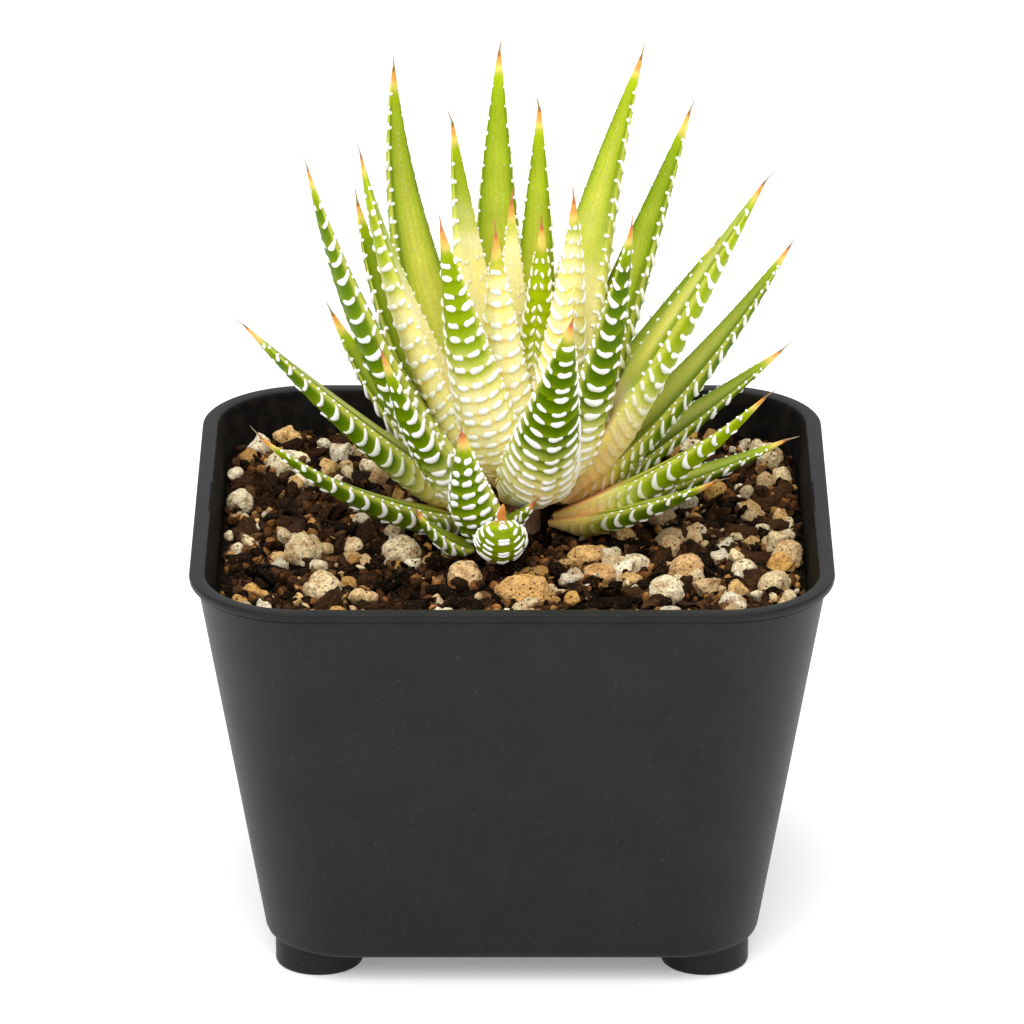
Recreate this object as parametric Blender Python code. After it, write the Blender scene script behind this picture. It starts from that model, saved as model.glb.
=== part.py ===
"""Potted haworthia: a striped rosette of thick leaves with one young offset, rooted in a
square nursery pot of bark mix with pumice grains on top.

Metres, +Z up. The origin is on the ground under the middle of the pot, and the plant's front,
where the offset grows, faces -Y."""
import math

import bmesh
import bpy
from mathutils import Matrix, Vector

MM = 0.001
GAP = 0.3 * MM                 # air left between neighbouring solids

# Pot: a square 9 cm nursery pot on four round feet
RIM_HALF = 45.0 * MM
RIM_TOP = 60.6 * MM
LIP_TALL = 1.3 * MM
BEAD_HALF = 44.6 * MM          # thin raised line just under the lip
BEAD_TALL = 0.8 * MM
WALL_TOP_HALF = 44.0 * MM
BASE_HALF = 34.7 * MM
BASE_Z = 3.9 * MM
CORNER_AT_RIM = 15.4 * MM
WALL = 1.4 * MM
FLOOR = 1.6 * MM
FOOT_RADIUS = 6.2 * MM
FOOT_X = 27.3 * MM
FOOT_Y = 25.3 * MM
DRAIN_RADIUS = 1.9 * MM
DRAIN_PITCH = 15.0 * MM

# Potting mix and stem
MIX_TOP = 54.4 * MM
STEM_X = 1.5 * MM
STEM_Y = 3.0 * MM
STEM_RADIUS = 2.6 * MM
STEM_FOOT = 45.0 * MM
STEM_TOP = 61.0 * MM
OFFSET_X = -2.6 * MM
OFFSET_Y = -9.2 * MM

# Leaf build
LEAF_SIDES = 8
LEAF_STATIONS = 8
NEEDLE_RADIUS = 0.14 * MM

# One line a leaf, from the heart outwards, in millimetres and degrees:
# name, azimuth, swing on the way out, lean at the base, lean at the tip, length, width,
# distance of the base from the stem's axis, height of the base
ROSETTE = [
    ("heart_leaf_centre", 45, 0, 82, 90, 37.5, 7.6, 1.2, 64.0),
    ("heart_leaf_left", 222, 0, 81, 88, 39.0, 9.0, 1.4, 63.5),
    ("heart_leaf_rear", 104, 0, 80, 88, 40.0, 6.4, 2.4, 64.0),
    ("heart_leaf_right", 352, 0, 77, 90, 44.5, 8.6, 2.2, 62.5),
    ("pale_leaf_rear", 141, 0, 76, 82, 53.5, 9.4, 2.8, 62.5),
    ("inner_leaf_front_left", 221, 0, 71, 76, 45.0, 11.8, 2.8, 62.5),
    ("inner_leaf_front_right", 332, -5, 68, 78, 46.0, 11.8, 4.5, 61.5),
    ("pale_leaf_left", 178, 0, 58, 78, 55.0, 11.2, 2.6, 62.0),
    ("slim_leaf_rear", 80, 0, 71, 87, 55.5, 8.2, 3.2, 61.0),
    ("tall_leaf_rear", 110, -30, 71, 79, 61.8, 9.6, 4.2, 61.0),
    ("tall_leaf_rear_right", 47, -8, 79, 65, 63.0, 12.4, 4.4, 61.0),
    ("tall_leaf_rear_left", 136, 0, 48, 92, 63.5, 12.0, 3.6, 60.8),
    ("leaf_right", 357, 0, 59, 58, 56.0, 12.6, 5.2, 60.5),
    ("leaf_left", 192, 0, 54, 74, 58.8, 12.2, 5.0, 59.5),
    ("leaf_front", 284, 2, 55, 60, 42.0, 13.6, 4.8, 61.4),
    ("tall_leaf_right_rear", 25, 0, 67, 68, 58.5, 10.6, 4.2, 60.8),
    ("leaf_left_rear_tall", 149, -11, 41, 75, 47.5, 9.4, 4.4, 60.5),
    ("leaf_front_left", 216, 6, 42, 70, 36.0, 11.4, 5.6, 59.2),
    ("leaf_right_rear", 40, -3, 42, 45, 45.5, 8.5, 5.0, 60.5),
    ("outer_leaf_right_high", 13, 5, 38, 54, 50.5, 10.2, 5.6, 59.2),
    ("outer_leaf_left", 190, -3, 37, 45, 46.5, 11.0, 6.0, 58.6),
    ("leaf_left_rear", 150, -17, 25, 50, 38.0, 8.6, 5.6, 58.6),
    ("rear_leaf_middle", 95, 0, 30, 46, 38.0, 9.5, 5.4, 59.5),
    ("rear_leaf_right", 66, 0, 26, 42, 36.0, 9.0, 5.6, 58.8),
    ("rear_leaf_left", 118, 0, 27, 42, 34.0, 9.0, 5.6, 58.8),
    ("outer_leaf_right", 343, 0, 25, 46, 39.0, 10.0, 5.8, 57.8),
    ("outer_leaf_right_rear", 22, -2, 24, 32, 40.5, 8.8, 6.0, 58.4),
    ("outer_leaf_right_low", 4, 2, 10, 23, 35.0, 8.2, 6.4, 57.8),
    ("outer_leaf_right_front", 329, 6, 16, 30, 29.5, 8.4, 6.0, 57.2),
    ("outer_leaf_left_low", 207, -11, 12, 44, 40.5, 8.6, 6.4, 57.4),
    ("low_rear_leaf_left", 122, 0, 12, 28, 30.0, 8.0, 6.4, 57.4),
    ("low_rear_leaf_middle", 88, 0, 10, 26, 33.0, 8.4, 6.4, 57.4),
    ("low_rear_leaf_right", 48, 0, 12, 28, 33.0, 8.0, 6.4, 57.4),
]
# The same for the offset's leaves, about its own axis
OFFSET = [
    ("offset_leaf_tall", 224, 0, 66, 76, 18.5, 9.4, 0.6, 57.4),
    ("offset_leaf_round", 275, 0, 42, 66, 8.0, 7.4, 1.8, 57.4),
    ("offset_leaf_right", 352, 0, 22, 48, 8.5, 6.6, 2.2, 58.2),
    ("offset_leaf_left", 192, 0, 20, 60, 11.0, 5.4, 3.2, 56.8),
]
FATNESS = {"offset_leaf_round": 0.80, "offset_leaf_tall": 0.56, "leaf_front": 0.58}
PLAIN_FATNESS = 0.50           # leaf thickness over its width

# name, x, y, across, deep, tall, turn: the pumice grains big enough to be pieces of their own
PUMICE = [
    ("pumice_left", -29.6, -8.0, 6.0, 5.2, 5.0, 20),
    ("pumice_front_left", -26.6, -22.5, 6.0, 5.6, 5.4, 75),
    ("pumice_left_middle", -15.5, -8.6, 5.8, 5.4, 5.2, 40),
    ("pumice_front_middle", -6.8, -17.4, 5.6, 5.2, 5.0, 110),
    ("pumice_front_large", 1.7, -23.6, 8.8, 6.4, 5.2, 8),
    ("pumice_front_right", 21.8, -23.6, 5.8, 5.4, 5.0, 60),
    ("pumice_right_middle", 24.6, -15.0, 5.4, 5.0, 4.8, 130),
    ("pumice_right", 39.0, -9.6, 4.6, 5.2, 4.8, 15),
    ("pumice_right_front", 36.8, -20.6, 5.0, 4.6, 4.4, 95),
    ("pumice_right_small", 32.6, -14.4, 4.0, 3.6, 3.4, 50),
    ("pumice_offset_right", 10.4, -9.4, 6.0, 3.4, 3.4, 165),
    ("pumice_middle_small", 12.1, -16.4, 5.0, 4.0, 3.6, 30),
    ("pumice_rear_left", -33.4, 25.4, 5.6, 5.0, 4.8, 140),
    ("pumice_left_small", -39.0, 11.4, 4.2, 4.0, 3.8, 70),
    ("pumice_rear_right", 37.0, 29.0, 5.2, 5.0, 4.6, 25),
    ("pumice_rear_small", 14.0, 35.0, 4.6, 4.2, 4.0, 100),
]
PUMICE_SUNK = 0.35             # share of a grain's height below the surface of the mix


for old in list(bpy.data.objects):
    bpy.data.objects.remove(old, do_unlink=True)

scene = bpy.context.scene
model = bpy.data.collections.new("potted_haworthia")
cutters = bpy.data.collections.new("cutters")
scene.collection.children.link(model)
scene.collection.children.link(cutters)


def material(name, colour, roughness):
    """One Principled material, with its viewport colour to match."""
    mat = bpy.data.materials.new(name)
    mat.use_nodes = True
    shader = mat.node_tree.nodes["Principled BSDF"]
    shader.inputs["Base Color"].default_value = (*colour, 1.0)
    shader.inputs["Roughness"].default_value = roughness
    shader.inputs["Metallic"].default_value = 0.0
    mat.diffuse_color = (*colour, 1.0)
    return mat


def solid(name, bm, mat=None, cutter=False):
    """Turn a bmesh into a named object, in the model or among the cutters."""
    bm.normal_update()
    bmesh.ops.recalc_face_normals(bm, faces=bm.faces)
    mesh = bpy.data.meshes.new(name)
    bm.to_mesh(mesh)
    bm.free()
    obj = bpy.data.objects.new(name, mesh)
    (cutters if cutter else model).objects.link(obj)
    if mat:
        mesh.materials.append(mat)
    if cutter:
        obj.hide_render = True
        obj.display_type = "WIRE"
    return obj


def boolean(obj, other, operation):
    """Cut one object from another, or join it on, with the exact solver."""
    mod = obj.modifiers.new(f"{operation.lower()}_{other.name}"[:60], "BOOLEAN")
    mod.object = other
    mod.operation = operation
    mod.solver = "EXACT"
    return mod


def bake(obj):
    """Make the modifiers' result the object's own mesh."""
    depsgraph = bpy.context.evaluated_depsgraph_get()
    mesh = bpy.data.meshes.new_from_object(obj.evaluated_get(depsgraph))
    obj.modifiers.clear()
    obj.data = mesh


def square_block(z0, z1, half0, half1, corner):
    """A square block with rounded upright corners, drawn in from half1 at its top to half0."""
    bm = bmesh.new()
    bmesh.ops.create_cube(bm, size=2.0)
    for v in bm.verts:
        v.co = Vector((v.co.x * half1, v.co.y * half1, z1 if v.co.z > 0 else z0))
    upright = [e for e in bm.edges if abs(e.verts[0].co.z - e.verts[1].co.z) > 1e-6]
    bmesh.ops.bevel(bm, geom=upright, offset=corner, segments=7, profile=0.5,
                    affect="EDGES", material=-1)
    taper = half0 / half1
    for v in bm.verts:
        if abs(v.co.z - z0) < 1e-6:
            v.co.x *= taper
            v.co.y *= taper
    return bm


def post(x, y, z0, z1, radius, sides):
    """A round upright post."""
    bm = bmesh.new()
    bmesh.ops.create_cone(bm, cap_ends=True, segments=sides, radius1=radius, radius2=radius,
                          depth=z1 - z0, matrix=Matrix.Translation((x, y, (z0 + z1) / 2)))
    return bm


def wall_half(z):
    """Half width of the pot's outer wall at a height."""
    share = (z - BASE_Z) / (RIM_TOP - BASE_Z)
    return BASE_HALF + (WALL_TOP_HALF - BASE_HALF) * share


# ---- pot: one moulded piece of charcoal plastic -----------------------------------------
charcoal = material("charcoal_plastic", (0.030, 0.030, 0.033), 0.45)
pot = solid("pot", square_block(BASE_Z, RIM_TOP, BASE_HALF, WALL_TOP_HALF, CORNER_AT_RIM), charcoal)
lip = solid("lip", square_block(RIM_TOP - LIP_TALL, RIM_TOP, RIM_HALF, RIM_HALF, CORNER_AT_RIM),
            cutter=True)
bead_top = RIM_TOP - LIP_TALL * 0.5
bead = solid("bead", square_block(RIM_TOP - LIP_TALL - BEAD_TALL, bead_top, BEAD_HALF, BEAD_HALF,
                                  CORNER_AT_RIM), cutter=True)
boolean(pot, lip, "UNION")
boolean(pot, bead, "UNION")
for side_x in (-1, 1):
    for side_y in (-1, 1):
        foot = solid(f"foot_{side_x}_{side_y}",
                     post(side_x * FOOT_X, side_y * FOOT_Y, 0.0, BASE_Z + FLOOR * 0.5,
                          FOOT_RADIUS, 24), cutter=True)
        boolean(pot, foot, "UNION")
cavity_floor = BASE_Z + FLOOR
cavity = solid("cavity", square_block(cavity_floor, RIM_TOP + 2 * MM, wall_half(cavity_floor) - WALL,
                                      wall_half(RIM_TOP + 2 * MM) - WALL, CORNER_AT_RIM - WALL),
               cutter=True)
boolean(pot, cavity, "DIFFERENCE")
for column in (-1, 0, 1):
    for row in (-1, 0, 1):
        drain = solid(f"drain_{column}_{row}",
                      post(column * DRAIN_PITCH, row * DRAIN_PITCH, BASE_Z - 2 * MM,
                           cavity_floor + 2 * MM, DRAIN_RADIUS, 12), cutter=True)
        boolean(pot, drain, "DIFFERENCE")
bake(pot)


# ---- stem and roots: one grown piece, with the offset's short runner ----------------------
def root(name, points, radius0, radius1):
    """A tapering root as a bevelled curve with filled ends, made into a mesh."""
    curve = bpy.data.curves.new(name, "CURVE")
    curve.dimensions = "3D"
    curve.bevel_depth = 1.0
    curve.bevel_resolution = 1
    curve.resolution_u = 2
    curve.render_resolution_u = 0
    curve.use_fill_caps = True
    spline = curve.splines.new("POLY")
    spline.points.add(len(points) - 1)
    for i, co in enumerate(points):
        spline.points[i].co = (*co, 1.0)
        spline.points[i].radius = radius0 + (radius1 - radius0) * i / (len(points) - 1)
    swept = bpy.data.objects.new(f"{name}_curve", curve)
    cutters.objects.link(swept)
    depsgraph = bpy.context.evaluated_depsgraph_get()
    bm = bmesh.new()
    bm.from_mesh(bpy.data.meshes.new_from_object(swept.evaluated_get(depsgraph)))
    bpy.data.objects.remove(swept, do_unlink=True)
    bmesh.ops.remove_doubles(bm, verts=bm.verts, dist=0.001 * MM)
    return solid(name, bm, cutter=True)


def stem_with_roots(name, grow, mat=None, cutter=False):
    """The short stem, its fleshy roots and the offset's runner, all grown outwards by grow."""
    stem = post(STEM_X, STEM_Y, STEM_FOOT - grow, STEM_TOP + grow, STEM_RADIUS + grow, 16)
    obj = solid(name, stem, mat, cutter)
    for n in range(5):
        turn = math.radians(20 + 72 * n)
        out = Vector((math.cos(turn), math.sin(turn), 0.0))
        sag = Vector((0.0, 0.0, -1.0))
        start = Vector((STEM_X, STEM_Y, STEM_FOOT + 2.2 * MM))
        course = [start + out * (r * MM) + sag * (d * MM)
                  for r, d in ((0.4, 0.0), (6.0, 3.5), (12.0, 9.5), (16.5, 18.0), (18.5, 27.0 + n))]
        fleshy = root(f"{name}_root_{n}", course, 1.3 * MM + grow, 0.55 * MM + grow)
        boolean(obj, fleshy, "UNION")
    runner = root(f"{name}_runner",
                  [Vector((STEM_X - 0.3 * MM, STEM_Y - 0.6 * MM, 50.0 * MM)),
                   Vector((-1.4 * MM, -4.0 * MM, 50.6 * MM)),
                   Vector((OFFSET_X, OFFSET_Y, 53.4 * MM)),
                   Vector((OFFSET_X, OFFSET_Y, 56.6 * MM + grow))],
                  1.4 * MM + grow, 1.1 * MM + grow)
    boolean(obj, runner, "UNION")
    bake(obj)
    return obj


stem_brown = material("stem_and_root_tissue", (0.42, 0.24, 0.15), 0.6)
stem = stem_with_roots("stem_and_roots", 0.0, stem_brown)
stem_pocket = stem_with_roots("stem_pocket", GAP, cutter=True)


# ---- pumice grains ------------------------------------------------------------------------
def grain(across, deep, tall, turn, x, y, grow):
    """A rounded stone, a little flattened underneath, part sunk in the mix."""
    bm = bmesh.new()
    bmesh.ops.create_icosphere(bm, subdivisions=1, radius=1.0)
    bmesh.ops.subdivide_edges(bm, edges=bm.edges[:], cuts=1, use_grid_fill=True)
    for v in bm.verts:
        v.co.normalize()
        lump = 1.0 + 0.05 * math.sin(3.1 * v.co.x + turn) + 0.04 * math.sin(4.3 * v.co.y + 2 * turn)
        v.co *= lump / 1.05
    half = Matrix.Diagonal((across * MM / 2 + grow, deep * MM / 2 + grow, tall * MM / 2 + grow, 1.0))
    place = Matrix.Translation((x * MM, y * MM, MIX_TOP + tall * MM * (0.5 - PUMICE_SUNK)))
    bm.transform(place @ Matrix.Rotation(math.radians(turn), 4, "Z") @ half)
    return bm


pumice = material("pumice", (0.66, 0.51, 0.30), 0.9)
grain_pockets = []
for name, x, y, across, deep, tall, turn in PUMICE:
    solid(name, grain(across, deep, tall, turn, x, y, 0.0), pumice)
    grain_pockets.append(solid(f"{name}_pocket", grain(across, deep, tall, turn, x, y, GAP),
                               cutter=True))

# ---- potting mix: it fills the pot, with pockets for the roots and the grains ---------------
bark = material("bark_mix", (0.045, 0.024, 0.012), 0.95)
mix_floor = cavity_floor + GAP
potting_mix = solid("potting_mix",
                    square_block(mix_floor, MIX_TOP, wall_half(mix_floor) - WALL - GAP,
                                 wall_half(MIX_TOP) - WALL - GAP, CORNER_AT_RIM - WALL), bark)
boolean(potting_mix, stem_pocket, "DIFFERENCE")
for pocket in grain_pockets:
    boolean(potting_mix, pocket, "DIFFERENCE")
bake(potting_mix)


# ---- leaves ---------------------------------------------------------------------------------
def leaf_course(axis, azimuth, swing, lean0, lean1, length, base_out, base_z):
    """Points along a leaf's middle, with the direction and the upper side at each of them."""
    turn = math.radians(azimuth)
    at = Vector((axis[0] + base_out * MM * math.cos(turn), axis[1] + base_out * MM * math.sin(turn),
                 base_z * MM))
    steps = 5
    course = []
    for i in range(LEAF_STATIONS + 1):
        share = i / LEAF_STATIONS
        lean = math.radians(lean0 + (lean1 - lean0) * share)
        turn = math.radians(azimuth + swing * share)
        along = Vector((math.cos(lean) * math.cos(turn), math.cos(lean) * math.sin(turn),
                        math.sin(lean)))
        upper = Vector((-math.sin(lean) * math.cos(turn), -math.sin(lean) * math.sin(turn),
                        math.cos(lean)))
        course.append((at.copy(), along, upper))
        for step in range(steps):
            part = (i + (step + 0.5) / steps) / LEAF_STATIONS
            lean = math.radians(lean0 + (lean1 - lean0) * part)
            turn = math.radians(azimuth + swing * part)
            at += Vector((math.cos(lean) * math.cos(turn), math.cos(lean) * math.sin(turn),
                          math.sin(lean))) * (length * MM / LEAF_STATIONS / steps)
    return course


def half_width(share, width):
    """Half a leaf's width at a share of its length: clasping base, broad shoulder, long taper."""
    shoulder = 0.72 + 0.28 * min(1.0, share / 0.2)
    taper = 1.0 - max(0.0, (share - 0.1) / 0.9) ** 1.5
    return max(width * MM / 2 * shoulder * taper, NEEDLE_RADIUS)


def leaf(axis, name, azimuth, swing, lean0, lean1, length, width, base_out, base_z, grow=0.0):
    """A thick pointed leaf: a stick swept along its course, nearly flat above, keeled below."""
    fatness = FATNESS.get(name, PLAIN_FATNESS)
    course = leaf_course(axis, azimuth, swing, lean0, lean1, length, base_out, base_z)
    bm = bmesh.new()
    bmesh.ops.create_cone(bm, cap_ends=True, segments=LEAF_SIDES, radius1=1.0, radius2=1.0, depth=1.0)
    long_edges = [e for e in bm.edges if abs(e.verts[0].co.z - e.verts[1].co.z) > 0.5]
    bmesh.ops.subdivide_edges(bm, edges=long_edges, cuts=LEAF_STATIONS - 1)
    for v in bm.verts:
        share = v.co.z + 0.5
        at, along, upper = course[round(share * LEAF_STATIONS)]
        sideways = along.cross(upper)
        half = half_width(share, width)
        heel = 0.5 + 0.5 * min(1.0, share / 0.12)
        thick = 1.6 * fatness * heel if v.co.y < 0 else 0.4 * fatness
        ends = (share * LEAF_STATIONS > LEAF_STATIONS - 0.5) - (share * LEAF_STATIONS < 0.5)
        v.co = (at + sideways * (v.co.x * (half + grow)) + upper * (v.co.y * (half * thick + grow))
                + along * (ends * grow))
    bmesh.ops.triangulate(bm, faces=bm.faces)
    return bm


def largest_island(obj):
    """Keep only the biggest closed body of a trimmed leaf."""
    bm = bmesh.new()
    bm.from_mesh(obj.data)
    bm.faces.ensure_lookup_table()
    left = set(bm.faces)
    islands = []
    while left:
        found = {left.pop()}
        edge_of = list(found)
        while edge_of:
            face = edge_of.pop()
            for edge in face.edges:
                for other in edge.link_faces:
                    if other in left:
                        left.discard(other)
                        found.add(other)
                        edge_of.append(other)
        islands.append(found)
    islands.sort(key=lambda faces: sum(f.calc_area() for f in faces))
    for small in islands[:-1]:
        bmesh.ops.delete(bm, geom=list(small), context="FACES")
    bmesh.ops.delete(bm, geom=[v for v in bm.verts if not v.link_faces], context="VERTS")
    bmesh.ops.remove_doubles(bm, verts=bm.verts, dist=0.003 * MM)
    bmesh.ops.dissolve_degenerate(bm, dist=0.003 * MM, edges=bm.edges)
    bmesh.ops.triangulate(bm, faces=bm.faces)
    bm.to_mesh(obj.data)
    bm.free()


def boxes_meet(a, b):
    """Whether two objects' boxes come within reach of each other."""
    spans = []
    for obj in (a, b):
        corners = [v.co for v in obj.data.vertices]
        spans.append([(min(c[k] for c in corners), max(c[k] for c in corners)) for k in range(3)])
    return all(spans[0][k][0] < spans[1][k][1] and spans[1][k][0] < spans[0][k][1] for k in range(3))


leaf_green = material("leaf_green", (0.10, 0.26, 0.03), 0.4)
leaf_pale = material("leaf_pale", (0.62, 0.62, 0.22), 0.4)
ground = square_block(MIX_TOP - 20 * MM, MIX_TOP + GAP, 0.1, 0.1, 0.01)
blockers = [solid("stem_room", post(STEM_X, STEM_Y, 40 * MM, STEM_TOP + GAP, STEM_RADIUS + GAP, 16),
                  cutter=True),
            solid("runner_room", post(OFFSET_X, OFFSET_Y, 50 * MM, 56.9 * MM, 1.1 * MM + GAP, 12),
                  cutter=True),
            solid("ground", ground, cutter=True)] + grain_pockets
plants = [((STEM_X, STEM_Y), row) for row in ROSETTE] + [((OFFSET_X, OFFSET_Y), row) for row in OFFSET]
for axis, row in plants:
    pale = row[0].startswith(("heart", "pale"))
    piece = solid(row[0], leaf(axis, *row), leaf_pale if pale else leaf_green)
    room = solid(f"{row[0]}_room", leaf(axis, *row, grow=GAP), cutter=True)
    for blocker in blockers:
        if boxes_meet(piece, blocker):
            boolean(piece, blocker, "DIFFERENCE")
            bake(piece)
            largest_island(piece)
    blockers.append(room)

for cutter in list(cutters.objects):
    bpy.data.objects.remove(cutter, do_unlink=True)
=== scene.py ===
"""Potted haworthia, dressed for the studio: a striped rosette and its young offset in bark mix,
in a square charcoal nursery pot. Metres, +Z up, the offset's side towards -Y."""
import math
import random

import bmesh
import bpy
import numpy as np
from mathutils import Matrix, Vector, noise


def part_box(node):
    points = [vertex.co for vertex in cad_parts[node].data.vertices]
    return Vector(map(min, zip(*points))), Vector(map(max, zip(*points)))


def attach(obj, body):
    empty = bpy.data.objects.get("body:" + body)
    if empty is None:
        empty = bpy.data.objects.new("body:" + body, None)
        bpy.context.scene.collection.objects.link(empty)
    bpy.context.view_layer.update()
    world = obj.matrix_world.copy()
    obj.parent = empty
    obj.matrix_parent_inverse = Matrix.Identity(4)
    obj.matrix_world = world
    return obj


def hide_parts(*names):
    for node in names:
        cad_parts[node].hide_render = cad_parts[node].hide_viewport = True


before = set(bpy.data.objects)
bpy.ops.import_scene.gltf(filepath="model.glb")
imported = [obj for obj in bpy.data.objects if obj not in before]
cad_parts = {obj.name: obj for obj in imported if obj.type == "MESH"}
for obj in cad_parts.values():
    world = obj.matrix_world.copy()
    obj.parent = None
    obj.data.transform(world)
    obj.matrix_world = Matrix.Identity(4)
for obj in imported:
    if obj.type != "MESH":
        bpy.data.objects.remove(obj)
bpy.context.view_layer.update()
MM = 0.001

# ---- Pot -----------------------------------------------------------------
# A square nursery pot, injection moulded in one piece of charcoal polypropylene: tapered walls
# with round corners, a rolled lip with a thin raised line under it, four round feet and nine
# drainage holes. It carries everything else.
POT_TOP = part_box("pot")[1][2]
WALL_TOP_HALF = 44.0 * MM
WALL_FOOT_HALF = 34.7 * MM
UNDERSIDE = 3.9 * MM
WALL_THICK = 1.4 * MM
FLOOR_TOP = 5.5 * MM
CORNER = 15.0 * MM
CORNER_STEPS = 18
FOOT_RADIUS = 6.2 * MM
DRAIN_RADIUS = 1.9 * MM
FOOT_PLACES = [(x * 27.3 * MM, y * 25.3 * MM) for x in (-1, 1) for y in (-1, 1)]
DRAIN_PLACES = [(x * 15.0 * MM, y * 15.0 * MM) for x in (-1, 0, 1) for y in (-1, 0, 1)]


def linear(code):
    """An sRGB hex colour as linear red, green, blue, alpha."""
    parts = [int(code[i:i + 2], 16) / 255 for i in (1, 3, 5)]
    return (*[p / 12.92 if p <= 0.04045 else ((p + 0.055) / 1.055) ** 2.4 for p in parts], 1.0)


def add_node(tree, kind, sockets=None, **settings):
    """Add a node, with its settings, and its inputs given as values or as sockets to link."""
    node = tree.nodes.new(kind)
    for name, value in settings.items():
        setattr(node, name, value)
    for name, value in (sockets or {}).items():
        if isinstance(value, bpy.types.NodeSocket):
            tree.links.new(value, node.inputs[name])
        else:
            node.inputs[name].default_value = value
    return node


def new_material(name, **shader_values):
    """A material with one Principled shader; keys are its socket names with _ for a space."""
    mat = bpy.data.materials.new(name)
    mat.use_nodes = True
    shader = mat.node_tree.nodes["Principled BSDF"]
    for key, value in shader_values.items():
        shader.inputs[key.replace("_", " ")].default_value = value
    return mat, mat.node_tree, shader


def pattern(tree, kind, spacing, where=None, **values):
    """A Noise or Voronoi pattern through the solid, its features about spacing mm apart."""
    if where is None:
        where = add_node(tree, "ShaderNodeTexCoord").outputs["Object"]
    return add_node(tree, "ShaderNodeTex" + kind,
                    {"Vector": where, "Scale": 1 / (spacing * MM), **values})


def remapped(tree, value, low, high, to_low=0.0, to_high=1.0):
    """A value carried from one range to another and held inside it."""
    return add_node(tree, "ShaderNodeMapRange", {
        "Value": value, "From Min": low, "From Max": high,
        "To Min": to_low, "To Max": to_high}).outputs["Result"]


def mixed(tree, share, first, second):
    """A colour carried towards another by a share."""
    return add_node(tree, "ShaderNodeMix", {"Factor": share, "A": first, "B": second},
                    data_type="RGBA", clamp_factor=True).outputs["Result"]


def scaled(tree, colour, factor):
    """A colour made lighter or darker by a factor."""
    return add_node(tree, "ShaderNodeVectorMath", {0: colour, "Scale": factor},
                    operation="SCALE").outputs["Vector"]


def ramped(tree, share, colours, places=(0.0, 1.0)):
    """A ramp between two hex colours, each at its place."""
    ramp = add_node(tree, "ShaderNodeValToRGB", {"Fac": share})
    for stop, code, place in zip(ramp.color_ramp.elements, colours, places):
        stop.color = linear(code)
        stop.position = place
    return ramp.outputs["Color"]


def bump(tree, shader, height, strength, depth):
    """Let a pattern tilt the surface, as if it stood depth mm high."""
    tilt = add_node(tree, "ShaderNodeBump", {"Height": height, "Strength": strength,
                                             "Distance": depth * MM})
    tree.links.new(tilt.outputs["Normal"], shader.inputs["Normal"])


def as_mesh(name, bm):
    """Turn a bmesh into a mesh and let go of it."""
    mesh = bpy.data.meshes.new(name)
    bm.to_mesh(mesh)
    bm.free()
    return mesh


def poured(bm, mesh):
    """Add a mesh to a bmesh and remove it."""
    bm.from_mesh(mesh)
    bpy.data.meshes.remove(mesh)


def finished(name, bm, materials, sharp=35.0):
    """Make a bmesh a smooth-shaded object at the origin, creased where faces turn sharply."""
    mesh = as_mesh(name, bm)
    for mat in materials:
        mesh.materials.append(mat)
    mesh.polygons.foreach_set("use_smooth", [True] * len(mesh.polygons))
    mesh.set_sharp_from_angle(angle=math.radians(sharp))
    obj = bpy.data.objects.new(name, mesh)
    bpy.context.scene.collection.objects.link(obj)
    return obj


def cut(obj, tool, operation):
    """Cut an object's mesh with a tool, which is removed afterwards."""
    change = obj.modifiers.new("cut", "BOOLEAN")
    change.object = tool
    change.operation = operation
    change.solver = "EXACT"
    evaluated = obj.evaluated_get(bpy.context.evaluated_depsgraph_get())
    whole = bpy.data.meshes.new_from_object(evaluated)
    obj.modifiers.clear()
    obj.data = whole
    bpy.data.objects.remove(tool, do_unlink=True)


def ring_edges(bm, ring):
    """The edges of a closed ring of points."""
    return [bm.edges.get((ring[i - 1], ring[i])) for i in range(len(ring))]


def rounded_square(bm, half, corner, steps):
    """A flat square face with rounded corners, its sides cut into short lengths."""
    bmesh.ops.create_grid(bm, x_segments=1, y_segments=1, size=half)
    bmesh.ops.bevel(bm, geom=bm.verts[:], offset=corner, segments=steps, profile=0.5,
                    affect="VERTICES", material=-1)
    sides = [e for e in bm.edges if e.calc_length() > half * 0.5]
    bmesh.ops.subdivide_edges(bm, edges=sides, cuts=9)
    return bm.faces[:][0]


def wall_half(z):
    """Half width of the pot's outer wall at a height."""
    return WALL_FOOT_HALF + (WALL_TOP_HALF - WALL_FOOT_HALF) * (z - UNDERSIDE) / (POT_TOP - UNDERSIDE)


def square_point(spot, normal, z, proud):
    """A point of the outline carried to a height on the taper, then out by proud."""
    return Vector((*(spot * (wall_half(z) / WALL_TOP_HALF) + normal * proud), z))


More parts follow.
